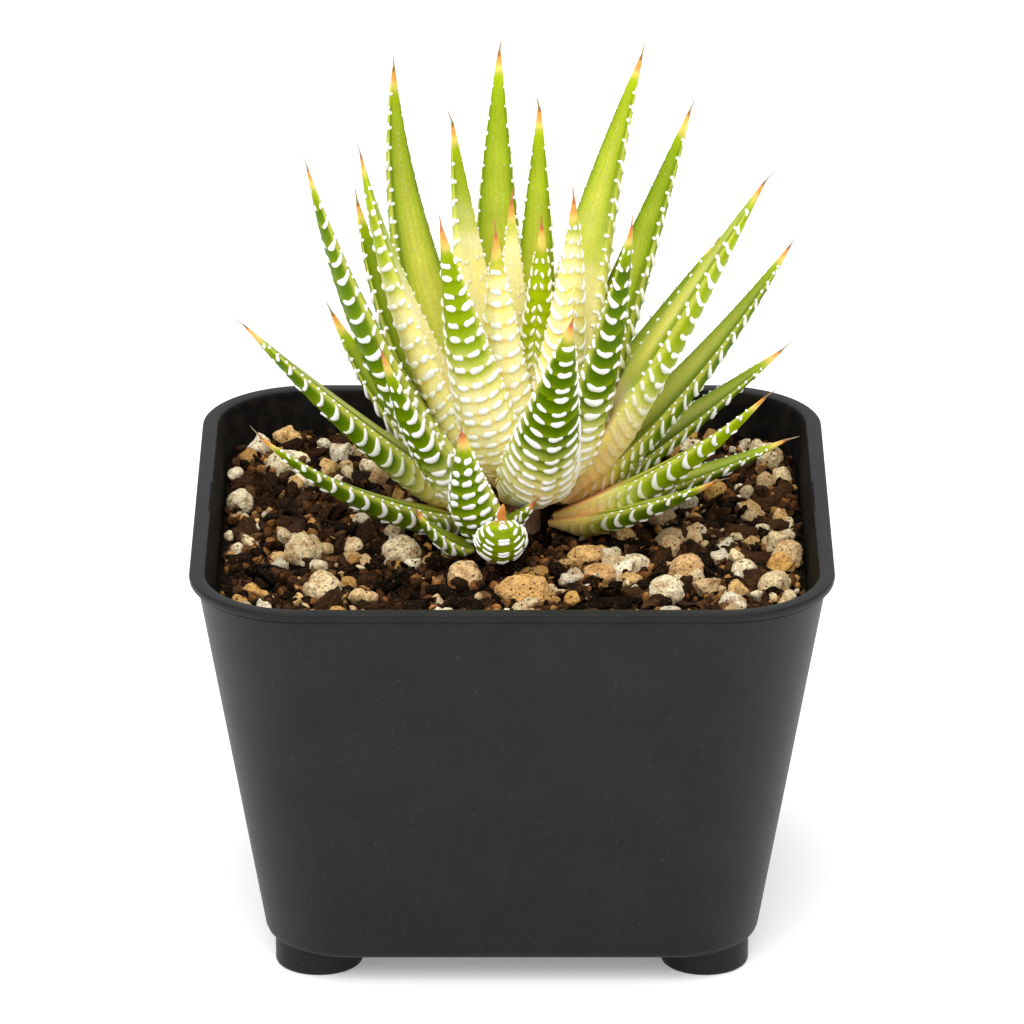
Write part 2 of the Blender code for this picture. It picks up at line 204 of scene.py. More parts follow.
# (height, how far proud of the tapered wall), from the underside, over the lip, to the floor
POT_PROFILE = [(3.9, -1.5), (3.95, -1.0), (4.15, -0.5), (4.55, -0.15), (5.2, 0.0), (58.35, 0.0),
               (58.5, 0.12), (58.6, 0.42), (58.75, 0.52), (59.1, 0.52), (59.2, 0.44), (59.27, 0.62),
               (59.36, 0.88), (59.55, 1.0), (60.2, 1.0), (60.42, 0.93), (60.55, 0.78), (60.6, 0.55),
               (60.6, -0.75), (60.55, -1.0), (60.42, -1.2), (60.2, -1.34), (59.8, -1.4), (8.0, -1.4),
               (6.6, -1.8), (5.8, -2.6), (5.5, -3.8)]
bm = bmesh.new()
base = rounded_square(bm, WALL_TOP_HALF, CORNER, CORNER_STEPS)
rim_verts = [loop.vert for loop in base.loops]
outline = []
for i, vert in enumerate(rim_verts):
    before, after = rim_verts[i - 1].co, rim_verts[(i + 1) % len(rim_verts)].co
    along = (after - before).normalized()
    outward = Vector((along.y, -along.x))
    spot = vert.co.xy.copy()
    outline.append((spot, outward if outward.dot(spot) > 0 else -outward))
ring = rim_verts
for (spot, normal), vert in zip(outline, ring):
    vert.co = square_point(spot, normal, POT_PROFILE[0][0] * MM, POT_PROFILE[0][1] * MM)
for z, proud in POT_PROFILE[1:]:
    made = bmesh.ops.extrude_edge_only(bm, edges=ring_edges(bm, ring))["geom"]
    fresh = {v for v in made if isinstance(v, bmesh.types.BMVert)}
    ring = [next(e.other_vert(v) for e in v.link_edges if e.other_vert(v) in fresh) for v in ring]
    for (spot, normal), vert in zip(outline, ring):
        vert.co = square_point(spot, normal, z * MM, proud * MM)
bmesh.ops.contextual_create(bm, geom=ring_edges(bm, ring))
for x, y in FOOT_PLACES:
    foot = bmesh.ops.create_cone(bm, cap_ends=True, segments=48, radius1=FOOT_RADIUS,
                                 radius2=FOOT_RADIUS, depth=4.5 * MM,
                                 matrix=Matrix.Translation((x, y, 2.25 * MM)))
    low = [e for e in {e for v in foot["verts"] for e in v.link_edges}
           if all(v.co.z < 0.1 * MM for v in e.verts)]
    bmesh.ops.bevel(bm, geom=low, offset=0.5 * MM, segments=3, profile=0.5, affect="EDGES",
                    material=-1)
bm.normal_update()
bmesh.ops.recalc_face_normals(bm, faces=bm.faces)

# Moulded polypropylene: a fine spark texture from the mould keeps it satin, and mineral dust in
# the recycled resin shows as faint specks.
polypropylene, tree, shader = new_material("moulded_polypropylene", Roughness=0.5, IOR=1.49,
                                           Specular_IOR_Level=0.2)
specks = pattern(tree, "Noise", 0.55, Detail=3.0).outputs["Fac"]
clouds = pattern(tree, "Noise", 9.0, Detail=4.0).outputs["Fac"]
tone = add_node(tree, "ShaderNodeMath", {0: specks, 1: clouds, 2: 0.15}, operation="MULTIPLY_ADD")
resin = ramped(tree, tone.outputs[0], ("#0e0e10", "#1a1a1c"), (0.25, 0.62))
dust = pattern(tree, "Voronoi", 1.9).outputs["Distance"]
dusty = mixed(tree, remapped(tree, dust, 0.03, 0.13, 0.3, 0.0), resin, linear("#434345"))
tree.links.new(dusty, shader.inputs["Base Color"])
bump(tree, shader, pattern(tree, "Noise", 0.3, Detail=2.0).outputs["Fac"], 0.25, 0.04)

pot = finished("moulded_pot", bm, [polypropylene], sharp=50.0)
drill = bmesh.new()
for x, y in DRAIN_PLACES:
    bmesh.ops.create_cone(drill, cap_ends=True, segments=32, radius1=DRAIN_RADIUS,
                          radius2=DRAIN_RADIUS, depth=6 * MM, matrix=Matrix.Translation((x, y, 4.7 * MM)))
drills = finished("drain_drills", drill, [])
cut(pot, drills, "DIFFERENCE")
# Inside, the wall is painted darker, in brownish smears, as painted shade, and made duller than the
# outside.
shaded_wall, tree, shader = new_material("painted_shade_inner_wall", Roughness=0.7, Specular_IOR_Level=0.08)
smears = pattern(tree, "Noise", 2.5, Detail=6.0).outputs["Fac"]
tree.links.new(ramped(tree, smears, ("#090807", "#1e1914"), (0.4, 0.72)), shader.inputs["Base Color"])
pot.data.materials.append(shaded_wall)
for face in pot.data.polygons:
    if face.center.z > FLOOR_TOP and face.normal.xy.dot(face.center.xy.normalized()) < -0.5:
        face.material_index = 1
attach(pot, "root")
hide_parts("pot")

# ---- Potting mix ---------------------------------------------------------
# Composted bark, peat crumbs and grit, poured in and settled about 6 mm below the rim. A solid
# bed fills the pot and loose pieces of each kind lie over it, tumbled where they fell.
MIX_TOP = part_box("potting_mix")[1][2]
MIX_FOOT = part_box("potting_mix")[0][2]
STEM = Vector((1.5 * MM, 3.0 * MM))
OFFSET_SPOT = Vector((-2.8 * MM, -11.0 * MM))
BULKY = 1.7                    # mm: a piece taller than this keeps clear of plants and its like
fall = random.Random(71)


def mix_height(x, y):
    """Height of the bed: low swells and finer lumps."""
    p = Vector((x, y, 0.0)) / MM
    return MIX_TOP + (noise.noise(p / 11) * 0.9 + noise.noise(p / 4.2 + Vector((9, 2, 0))) * 0.6
                      + noise.noise(p / 1.6) * 0.35 - 0.5) * MM


def inside_pot(x, y, margin):
    """Whether a spot lies inside the pot's inner wall, at the mix's level, by a margin."""
    half = wall_half(MIX_TOP) - WALL_THICK - margin
    corner = max(CORNER - WALL_THICK - margin, 1 * MM)
    dx, dy = abs(x) - (half - corner), abs(y) - (half - corner)
    if dx > 0 and dy > 0:
        return math.hypot(dx, dy) < corner
    return max(dx, dy) < corner


def bed_half(z):
    """Half width of the bed at a height, just clear of the pot's inner wall."""
    return wall_half(z) - WALL_THICK - 0.15 * MM


bm = bmesh.new()
bmesh.ops.create_grid(bm, x_segments=110, y_segments=110, size=43 * MM)
made = bmesh.ops.extrude_face_region(bm, geom=bm.faces[:])["geom"]
upper = {v for v in made if isinstance(v, bmesh.types.BMVert)}
for v in bm.verts:
    v.co.z = mix_height(v.co.x, v.co.y) if v in upper else MIX_FOOT
bm.normal_update()
bmesh.ops.recalc_face_normals(bm, faces=bm.faces)

# Damp bark and peat: dark, matt and fibrous, powdered with lighter brown. The colour of each
# loose piece is on its own attribute, "tone".
bark, tree, shader = new_material("composted_bark", Roughness=0.8, IOR=1.45, Specular_IOR_Level=0.06)
own_tone = add_node(tree, "ShaderNodeAttribute", attribute_name="tone").outputs["Color"]
fibres = pattern(tree, "Noise", 0.7, Detail=6.0, Roughness=0.7).outputs["Fac"]
fibrous = scaled(tree, own_tone, remapped(tree, fibres, 0.3, 0.75, 0.35, 1.75))
dust = pattern(tree, "Noise", 0.3, Detail=3.0).outputs["Fac"]
dusted = mixed(tree, remapped(tree, dust, 0.58, 0.72, 0.0, 0.4), fibrous, linear("#8a5f36"))
tree.links.new(dusted, shader.inputs["Base Color"])
bump(tree, shader, fibres, 0.9, 0.35)


def tinted(mesh, colour):
    """Give every point of a mesh one colour in its tone attribute."""
    layer = mesh.attributes.get("tone") or mesh.attributes.new("tone", "FLOAT_COLOR", "POINT")
    layer.data.foreach_set("color", list(colour) * len(mesh.vertices))


bed = finished("mix_bed", bm, [bark], sharp=180.0)
prism = bmesh.new()
low_face = rounded_square(prism, bed_half(MIX_FOOT),
                          (CORNER - WALL_THICK) * WALL_FOOT_HALF / WALL_TOP_HALF, 8)
made = bmesh.ops.extrude_face_region(prism, geom=[low_face])["geom"]
raised = [v for v in made if isinstance(v, bmesh.types.BMVert)]
BED_REACH = MIX_TOP + 3 * MM
growth = bed_half(BED_REACH) / bed_half(MIX_FOOT)
bmesh.ops.scale(prism, vec=(growth, growth, 1.0), verts=raised)
bmesh.ops.translate(prism, vec=(0, 0, BED_REACH - MIX_FOOT), verts=raised)
bmesh.ops.translate(prism, vec=(0, 0, MIX_FOOT + 0.02 * MM), verts=prism.verts)
prism.normal_update()
bmesh.ops.recalc_face_normals(prism, faces=prism.faces)
mould = finished("bed_mould", prism, [])
cut(bed, mould, "INTERSECT")
tinted(bed.data, linear("#0d0805"))
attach(bed, "root")
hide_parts("potting_mix")

PUMICE_NODES = sorted(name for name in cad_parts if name.startswith("pumice"))
PUMICE_SPOTS = []
for name in PUMICE_NODES:
    lowest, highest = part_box(name)
    PUMICE_SPOTS.append(((lowest[0] + highest[0]) / 2, (lowest[1] + highest[1]) / 2,
                         (highest[0] - lowest[0] + highest[1] - lowest[1]) / 4))


def lump(kind, roughness, seed):
    """A rough piece about 1 across: a subdivided shape with its points pushed about by noise."""
    shape = bmesh.new()
    worn = kind in ("stone", "twin")                      # tumbled smooth, so less jagged
    if kind == "slab":
        bmesh.ops.create_cube(shape, size=0.9)
        bmesh.ops.subdivide_edges(shape, edges=shape.edges[:], cuts=2, use_grid_fill=True)
    else:
        subdivisions = {"stone": 4, "twin": 4, "chunk": 3, "crumb": 2}[kind]
        bmesh.ops.create_icosphere(shape, subdivisions=subdivisions, radius=0.5)
    shift = Vector((seed * 7.3, seed * 3.1, 0))
    for v in shape.verts:
        p = v.co * 1.7 + shift
        v.co += Vector((noise.noise(p), noise.noise(p + Vector((5, 0, 0))),
                        noise.noise(p + Vector((0, 5, 0))))) * roughness
        v.co += v.co * (noise.noise(v.co * 6 + shift) * roughness * (0.25 if worn else 0.7))
        if kind == "twin":
            v.co *= 1 - 0.34 * math.exp(-((v.co.x - 0.08) / 0.13) ** 2)
        if worn or kind == "chunk":
            v.co *= 1 + (0.22 if kind == "chunk" else 0.05) * noise.noise(v.co * 9 + shift)
    return as_mesh("lump", shape)


def strewn(kind, count, long, wide, tall, tones, sunk, roughness, spread, where=None):
    """Scatter pieces of one kind over the bed: sizes in mm as (least, most), lying mostly flat."""
    pile, heap = bmesh.new(), bmesh.new()
    patterns = [lump(kind, roughness, fall.uniform(0, 9)) for _ in range(7)]
    laid = 0
    while laid < count:
        x, y = fall.uniform(-43, 43) * MM, fall.uniform(-43, 43) * MM
        size = [fall.uniform(*long), fall.uniform(*wide), fall.uniform(*tall)]
        if not inside_pot(x, y, (0.3 + 0.55 * size[0]) * MM) or (where and not where(x, y)):
            continue
        bulky = size[2] > BULKY
        plants = ((STEM, 13 if bulky else 4), (OFFSET_SPOT, 6.5 if bulky else 3.6))
        if any(math.hypot(x - spot.x, y - spot.y) < clear * MM for spot, clear in plants):
            continue
        if any(math.hypot(x - px, y - py) < pr * 0.8 + (0.4 * size[0] * MM if bulky else 0)
               for px, py, pr in PUMICE_SPOTS):
            continue
        if bulky:
            PUMICE_SPOTS.append((x, y, 0.42 * size[0] * MM))
        piece = fall.choice(patterns).copy()
        z = mix_height(x, y) + (size[2] * (0.5 - sunk) + fall.uniform(-0.2, 0.5)) * MM
        piece.transform(Matrix.Translation((x, y, z))
                        @ Matrix.Rotation(fall.uniform(0, math.tau), 4, "Z")
                        @ Matrix.Rotation(fall.gauss(0, 0.22 + spread), 4, "Y")
                        @ Matrix.Rotation(fall.gauss(0, 0.28 + spread), 4, "X")
                        @ Matrix.Diagonal((size[0] * MM, size[1] * MM, size[2] * MM, 1.0)))
        colour = linear(fall.choice(tones))
        light = fall.uniform(0.75, 1.25)
        tinted(piece, [c * light for c in colour[:3]] + [1.0])
        poured(heap, piece)
        laid += 1
        if laid % 50 == 0 or laid == count:
            poured(pile, as_mesh("heap", heap))
            heap = bmesh.new()
    heap.free()
    for pattern in patterns:
        bpy.data.meshes.remove(pattern)
    return pile


def right_or_rear(x, y):
    """Where the coarser pumice gathered: along the right wall and the far side."""
    return x > 13 * MM or y > 18 * MM


BARK_TONES = ["#0e0804", "#160d07", "#20130a", "#2d1c0f", "#3e2817"]
PEAT_TONES = ["#1c120b", "#291b10", "#382516", "#4a321f", "#61452b"]
CLAY_TONES = ["#6d4524", "#7c512c", "#5a381e", "#8f6035", "#4a2e19", "#a87a45"]
PUMICE_TONES = ["#e2d3ae", "#d8c296", "#c9ab7c", "#d0ac70", "#be9250", "#dccfb2"]
# name, crease angle, then what strewn takes
for name, crease, *heap in (
        ("bark_chips", 60, "chunk", 95, (3.5, 7.5), (2.0, 4.0), (1.6, 2.8), BARK_TONES, 0.4, 0.36, 0.15),
        ("bark_crumbs", 60, "crumb", 330, (1.8, 4.2), (1.3, 2.6), (1.0, 2.0), BARK_TONES, 0.3, 0.34, 0.35),
        ("bark_shards", 45, "slab", 150, (2.0, 6.5), (0.8, 1.8), (0.5, 1.2), BARK_TONES, 0.25, 0.3, 0.2),
        ("peat_crumbs", 60, "crumb", 1700, (0.8, 2.6), (0.7, 2.2), (0.6, 1.6), PEAT_TONES, 0.25, 0.34, 0.5),
        ("clay_granules", 60, "crumb", 900, (0.7, 2.1), (0.7, 1.8), (0.6, 1.5), CLAY_TONES, 0.15, 0.28,
         0.5)):
    loose = finished(name, strewn(*heap), [bark], sharp=crease)
    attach(loose, "root")

# ---- Pumice --------------------------------------------------------------
# Washed pumice, tumbled round in the sack: sixteen grains big enough to stand alone, and the
# smaller ones that come with them. Gas bubbles open on the skin as small pits, painted dark inside as
# shade.
# The material is chalky and dry to the eye: pale, stained with rust and a little frothy, its pores painted
# as dark spots of shade.
pumice, tree, shader = new_material("washed_pumice", Roughness=0.9, IOR=1.5, Specular_IOR_Level=0.2)
where = add_node(tree, "ShaderNodeTexCoord").outputs["Object"]
own_tone = add_node(tree, "ShaderNodeAttribute", attribute_name="tone").outputs["Color"]
stain = pattern(tree, "Noise", 1.6, Detail=5.0, Roughness=0.65).outputs["Fac"]
stained = mixed(tree, remapped(tree, stain, 0.48, 0.66, 0.0, 0.75), own_tone, linear("#9a6a34"))
warp = pattern(tree, "Noise", 0.8, Detail=2.0).outputs["Color"]
drift = add_node(tree, "ShaderNodeVectorMath", {0: warp, 1: (0.45 * MM,) * 3}, operation="MULTIPLY")
bent = add_node(tree, "ShaderNodeVectorMath", {0: where, 1: drift.outputs["Vector"]}, operation="ADD")
pore_shares = {}
# Pores: dark spots of painted shade where bubbles open, two sizes over a drifting pattern.
for n, (apart, least, most, shown) in enumerate(((0.5, 0.12, 0.24, 0.7), (1.05, 0.13, 0.23, 0.95))):
    pores = pattern(tree, "Voronoi", apart, bent.outputs["Vector"]).outputs["Distance"]
    pore_shares[n] = remapped(tree, pores, least, most, shown, 0.0)
pore_share = add_node(tree, "ShaderNodeMath", pore_shares, operation="MAXIMUM").outputs[0]
pore_shaded = mixed(tree, pore_share, stained, linear("#4a2f18"))
froth = pattern(tree, "Noise", 0.35, Detail=4.0).outputs["Fac"]
frothy = scaled(tree, pore_shaded, remapped(tree, froth, 0.35, 0.65, 0.62, 1.22))
tree.links.new(frothy, shader.inputs["Base Color"])
bump(tree, shader, froth, 0.7, 0.12)


def rgb(code):
    """An sRGB hex colour as a linear array of three."""
    return np.array(linear(code)[:3])


PUMICE_HUES = {"pumice_front_large": "#d3a566", "pumice_offset_right": "#d6aa6c",
               "pumice_middle_small": "#cba06a", "pumice_right_middle": "#d0a874",
               "pumice_left_middle": "#dcc8a0", "pumice_front_middle": "#dbb987",
               "pumice_right": "#d9b682"}
# Dark brown painted into the pits as shade.
PIT_SHADE = rgb("#3a2413")
PITS_ON_5_MM = 46              # pits on a grain 5 mm across
for n, node in enumerate(PUMICE_NODES):
    lowest, highest = (Vector(corner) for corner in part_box(node))
    middle, size = (lowest + highest) / 2, highest - lowest
    bm = bmesh.new()
    bmesh.ops.create_icosphere(bm, subdivisions=6 if size.x > 5.2 * MM else 5, radius=1.0)
    pit_count = int(PITS_ON_5_MM * (size.x / (5 * MM)) ** 2)
    aims = np.array([v.co.normalized()[:] for v in bm.verts])
    pits = np.array([Vector([fall.gauss(0, 1) for _ in range(3)]).normalized()[:]
                     for _ in range(pit_count)])
    pit_wide = np.array([fall.triangular(0.08, 0.38, 0.13) for _ in range(pit_count)])
    pit_wide /= size.x / 2 / MM
    apart = np.sqrt(np.maximum(0, 2 - 2 * aims @ pits.T))
    deep = np.maximum(0, 1 - (apart / pit_wide) ** 2).max(axis=1)
    pit_depth = 0.2 * MM / (size.x / 2)
    stone = rgb(PUMICE_HUES.get(node, PUMICE_TONES[n % 3])) * fall.uniform(0.94, 1.06)
    tone_layer = bm.verts.layers.float_color.new("tone")
    shift = Vector((n * 5.7, n * 2.3, 0))
    waist = Vector([fall.gauss(0, 1) for _ in range(3)]).normalized()
    pinch = 0.14 if n % 3 == 1 else 0.0
    for v, hollow in zip(bm.verts, deep):
        aim = v.co.normalized()
        swell = (1 + 0.13 * noise.noise(aim * 1.4 + shift) + 0.06 * noise.noise(aim * 3.2 + shift)
                 + 0.03 * noise.noise(aim * 9 + shift))
        swell *= 1 - pinch * math.exp(-((aim.dot(waist) - 0.15) / 0.22) ** 2)
        reach = swell - pit_depth * hollow
        v.co = middle + Vector(aim[k] * reach * size[k] / 2 * 1.03 for k in range(3))
        # Inside each pit the stone's colour is darkened: painted shade in the hollow.
        tone = stone * (1 - 0.75 * hollow) + PIT_SHADE * 0.75 * hollow
        v[tone_layer] = (*(tone * (1 + 0.12 * noise.noise(aim * 2.4 + shift))), 1.0)
    grain = finished(f"grain_{node}", bm, [pumice], sharp=180.0)
    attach(grain, "root")
    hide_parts(node)

GRIT_TONES = PUMICE_TONES + ["#c08f52", "#b0803f"]
for name, *heap in (
        ("pumice_side_grains", "stone", 70, (3.0, 4.8), (2.7, 4.0), (2.5, 3.6), PUMICE_TONES, 0.25, 0.24,
         0.6, right_or_rear),
        ("pumice_twin_grains", "twin", 28, (3.4, 5.0), (2.4, 3.4), (2.2, 3.0), PUMICE_TONES, 0.25, 0.2,
         0.4),
        ("pumice_small_grains", "stone", 80, (2.0, 3.2), (1.8, 2.8), (1.8, 2.5), PUMICE_TONES, 0.2, 0.24,
         0.6),
        ("pumice_grit", "crumb", 460, (0.7, 2.0), (0.6, 1.7), (0.5, 1.4), GRIT_TONES, 0.1, 0.16, 0.8)):
    loose = finished(name, strewn(*heap), [pumice], sharp=80.0)
    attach(loose, "root")

# ---- Stem and roots ------------------------------------------------------
# The short fleshy stem, the runner to the offset and the roots are one grown piece, almost all
# of it under the mix or behind leaf bases. It keeps its modelled shape under a matt skin.
root_skin, tree, shader = new_material("root_skin", Roughness=0.6, Subsurface_Weight=0.15)
rings = pattern(tree, "Noise", 1.5, Detail=4.0).outputs["Fac"]
tree.links.new(ramped(tree, rings, ("#7a4a36", "#c4977a")), shader.inputs["Base Color"])
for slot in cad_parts["stem_and_roots"].material_slots:
    slot.material = root_skin

# ---- Leaves --------------------------------------------------------------
# Thick pointed leaves, each grown as one piece round the short stem: flat above, keeled below,
# with white wax-topped tubercles in broken bands on the back and as teeth along the edges.

# One line a leaf: name, azimuth, swing, lean at base and tip, length, width, base distance from
# the stem's axis, base height (degrees and mm), then its colours: share of the length that is
# cream, greenness from lime 0 to deep 1, share that is pink, stripe on the upper face 0 to 1.
ROSETTE = [
    ("heart_leaf_centre", 45, 0, 82, 90, 37.5, 7.6, 1.2, 64, 0.45, 0.1, 0, 0.3),
    ("heart_leaf_left", 222, 0, 81, 88, 39, 9, 1.4, 63.5, 0.97, 0, 0, 0.2),
    ("heart_leaf_rear", 104, 0, 80, 88, 40, 6.4, 2.4, 64, 0.95, 0, 0, 0.2),
    ("heart_leaf_right", 352, 0, 77, 90, 44.5, 8.6, 2.2, 62.5, 0.90, 0, 0, 0.2),
    ("pale_leaf_rear", 141, 0, 76, 82, 53.5, 9.4, 2.8, 62.5, 0.72, 0.1, 0, 0.3),
    ("inner_leaf_front_left", 221, 0, 71, 76, 45, 11.8, 2.8, 62.5, 0.50, 0.3, 0, 0.4),
    ("inner_leaf_front_right", 332, -5, 68, 78, 46, 11.8, 4.5, 61.5, 0.31, 0.85, 0.05, 0.6),
    ("pale_leaf_left", 178, 0, 58, 78, 55, 11.2, 2.6, 62, 0.66, 0.1, 0, 0.4),
    ("slim_leaf_rear", 80, 0, 71, 87, 55.5, 8.2, 3.2, 61, 0.35, 0.1, 0.05, 0.6),
    ("tall_leaf_rear", 110, -30, 71, 79, 62.8, 9.6, 4.2, 61, 0.40, 0.2, 0.05, 0.5),
    ("tall_leaf_rear_right", 47, -8, 79, 65, 64.3, 12.4, 4.4, 61, 0.56, 0.12, 0, 0.85),
    ("tall_leaf_rear_left", 136, 0, 48, 92, 64.6, 12, 3.6, 60.8, 0.34, 0.3, 0.05, 0.8),
    ("leaf_right", 357, 0, 59, 58, 57.3, 12.6, 5.2, 60.5, 0.37, 0.17, 0.28, 1),
    ("leaf_left", 192, 0, 54, 74, 60.2, 12.2, 5, 59.5, 0.24, 0.75, 0.1, 0.7),
    ("leaf_front", 284, 2, 55, 60, 42, 13.6, 4.8, 61.4, 0.33, 0.85, 0.06, 0.4),
    ("tall_leaf_right_rear", 25, 0, 67, 68, 59.2, 10.6, 4.2, 60.8, 0.25, 0.6, 0.1, 0.45),
    ("leaf_left_rear_tall", 149, -11, 41, 75, 47.5, 9.4, 4.4, 60.5, 0.15, 0.85, 0.1, 0.4),
    ("leaf_front_left", 216, 6, 42, 70, 36, 11.4, 5.6, 59.2, 0.34, 0.75, 0.12, 0.4),
    ("leaf_right_rear", 40, -3, 42, 45, 45.5, 8.5, 5, 60.5, 0.12, 0.9, 0.1, 0.4),
    ("outer_leaf_right_high", 13, 5, 38, 54, 50.5, 10.2, 5.6, 59.2, 0.18, 0.75, 0.15, 0.6),
    ("outer_leaf_left", 190, -3, 37, 45, 46.5, 11, 6, 58.6, 0.26, 0.8, 0.25, 0.7),
    ("leaf_left_rear", 150, -17, 25, 50, 38, 8.6, 5.6, 58.6, 0.12, 0.9, 0.1, 0.4),
    ("rear_leaf_middle", 95, 0, 30, 46, 38, 9.5, 5.4, 59.5, 0.22, 0.7, 0.15, 0.6),
    ("rear_leaf_right", 66, 0, 26, 42, 36, 9, 5.6, 58.8, 0.18, 0.8, 0.15, 0.6),
    ("rear_leaf_left", 118, 0, 27, 42, 34, 9, 5.6, 58.8, 0.2, 0.75, 0.15, 0.6),
    ("outer_leaf_right", 343, 0, 25, 46, 39, 10, 5.8, 57.8, 0.30, 0.3, 0.25, 1),
    ("outer_leaf_right_rear", 22, -2, 24, 32, 40.5, 8.8, 6, 58.4, 0.12, 0.85, 0.15, 0.6),
    ("outer_leaf_right_low", 4, 2, 10, 23, 35, 8.2, 6.4, 57.8, 0.1, 0.9, 0.15, 0.5),
    ("outer_leaf_right_front", 329, 6, 16, 30, 29.5, 8.4, 6, 57.2, 0.14, 0.8, 0.28, 0.6),
    ("outer_leaf_left_low", 207, -11, 12, 44, 40.5, 8.6, 6.4, 57.4, 0.1, 0.85, 0.15, 0.4),
    ("low_rear_leaf_left", 122, 0, 12, 28, 30, 8, 6.4, 57.4, 0.1, 0.85, 0.2, 0.5),
    ("low_rear_leaf_middle", 88, 0, 10, 26, 33, 8.4, 6.4, 57.4, 0.12, 0.8, 0.2, 0.5),
    ("low_rear_leaf_right", 48, 0, 12, 28, 33, 8, 6.4, 57.4, 0.1, 0.85, 0.2, 0.5),
]
OFFSET = [
    ("offset_leaf_tall", 213, 0, 68, 77, 19.4, 11.6, -0.4, 57.4, 0.02, 0.9, 0, 0.2),
    ("offset_leaf_round", 279, 0, 62, 84, 8.6, 7.2, 4.8, 57.3, 0.05, 0.8, 0, 0.2),
    ("offset_leaf_right", 345, 0, 34, 44, 7.4, 7.2, 1, 60, 0.02, 0.9, 0, 0.2),
    ("offset_leaf_left", 192, 0, 20, 60, 11, 5.4, 3.2, 56.8, 0.02, 0.9, 0, 0.2),
]
OFFSET_AXIS = (-2.6 * MM, -9.2 * MM)
FATNESS = {"offset_leaf_round": 0.60, "offset_leaf_tall": 0.56, "leaf_front": 0.58}
# base width against the shoulder's, and the share of the length up to the shoulder
SHOULDER = {"offset_leaf_tall": (0.55, 0.37)}
USUAL_SHOULDER = (0.72, 0.2)
# millimetres between bands half way up, and how long one white dash is
USUAL_GAP, USUAL_DASH = 2.9, 4.0
BAND_GAP = {"leaf_front": 2.3, "inner_leaf_front_left": 2.4, "inner_leaf_front_right": 2.6,
            "heart_leaf_centre": 1.9, "heart_leaf_left": 2.4, "heart_leaf_right": 2.3,
            "offset_leaf_tall": 1.5, "offset_leaf_round": 0.72, "offset_leaf_right": 1.3,
            "offset_leaf_left": 1.8, "leaf_front_left": 2.5, "outer_leaf_right": 2.7}
DASH = {"leaf_front": 2.6, "inner_leaf_front_left": 2.2, "inner_leaf_front_right": 3.4,
        "heart_leaf_left": 2.0, "pale_leaf_rear": 2.2, "offset_leaf_tall": 1.9,
        "offset_leaf_round": 2.0, "leaf_front_left": 3.4, "pale_leaf_left": 2.4}
# degrees a blade is turned about its own length, away from facing the stem squarely
ROLL = {"heart_leaf_right": -60, "heart_leaf_centre": -150, "heart_leaf_left": 30, "leaf_right": 7,
        "outer_leaf_right": -8, "outer_leaf_left": 6, "outer_leaf_left_low": 9,
        "outer_leaf_right_front": -5, "tall_leaf_right_rear": 12, "inner_leaf_front_left": 12}
RIDGED_FACE = ("pale_leaf_rear", "pale_leaf_left", "heart_leaf_rear")
DOTTED_LINE = ("leaf_right", "tall_leaf_rear_right", "tall_leaf_rear_left")
NEEDLE = 2.4                   # mm of dry needle past the living tip
FIRST_GAP = 1.5                # mm between the lowest bands, which stand closer
SHORT_LEAF = 20.0              # mm: a leaf under this is young, with a blunter tip
BEAD = 3.0                     # mm: marks under this are beads that stand straight across
FLANK = 1.42                   # skin from the keel round to an edge, in half widths
BALL_AT, BALL_REACH = 0.36, 0.38     # middle and half length of the globe leaf, in shares
COURSE_STEPS = 120
STATION = 0.38                 # mm between rings of the body
SIDES = 48
grow = random.Random(19)

# Living leaf skin: waxy cuticle over wet, light-scattering tissue, so it is satin on top and
# glows a little in the thin parts. Its colour is on the attribute "skin".
leaf_skin, tree, shader = new_material(
    "waxy_leaf_skin", Roughness=0.4, IOR=1.42, Specular_IOR_Level=0.08, Subsurface_Weight=0.25,
    Subsurface_Scale=1.4 * MM, Subsurface_Radius=(0.9, 1.0, 0.3))
painted = add_node(tree, "ShaderNodeAttribute", attribute_name="skin").outputs["Color"]
cells = pattern(tree, "Noise", 0.5, Detail=3.0).outputs["Fac"]
mottled = scaled(tree, painted, remapped(tree, cells, 0.25, 0.75, 0.9, 1.1))
tree.links.new(mottled, shader.inputs["Base Color"])
bump(tree, shader, cells, 0.25, 0.06)

# Tubercles: chalk-white wax caps with a soft gloss, tinted towards the leaf near the leaf's base, and on
# their low sides as painted shade.
wax_cap, tree, shader = new_material(
    "white_tubercle_wax", Roughness=0.45, IOR=1.44, Specular_IOR_Level=0.25, Subsurface_Weight=0.2,
    Subsurface_Scale=0.6 * MM, Subsurface_Radius=(1.0, 1.0, 0.8))
painted = add_node(tree, "ShaderNodeAttribute", attribute_name="skin").outputs["Color"]
tree.links.new(painted, shader.inputs["Base Color"])

DEEP, MID, LIME = map(rgb, ("#355600", "#6c8c00", "#a9ba04"))
CREAM, BUTTER, STRIPE = map(rgb, ("#fff6c0", "#f8e274", "#dfd964"))
PINK, ORANGE, RUST = map(rgb, ("#dc9c62", "#e28f48", "#5e2812"))
STRAW, DRY, WAX = map(rgb, ("#f2cf78", "#8f7a64", "#fffefa"))
SHADE, BLUSH = map(rgb, ("#e2bd58", "#b5654a"))


def ease(low, high, value):
    """Smooth step from 0 at low to 1 at high."""
    t = np.clip((value - low) / (high - low), 0.0, 1.0)
    return t * t * (3 - 2 * t)


def toward(colour, other, share):
    """Colours carried a share of the way to another."""
    return colour + (other - colour) * np.asarray(share)[..., None]


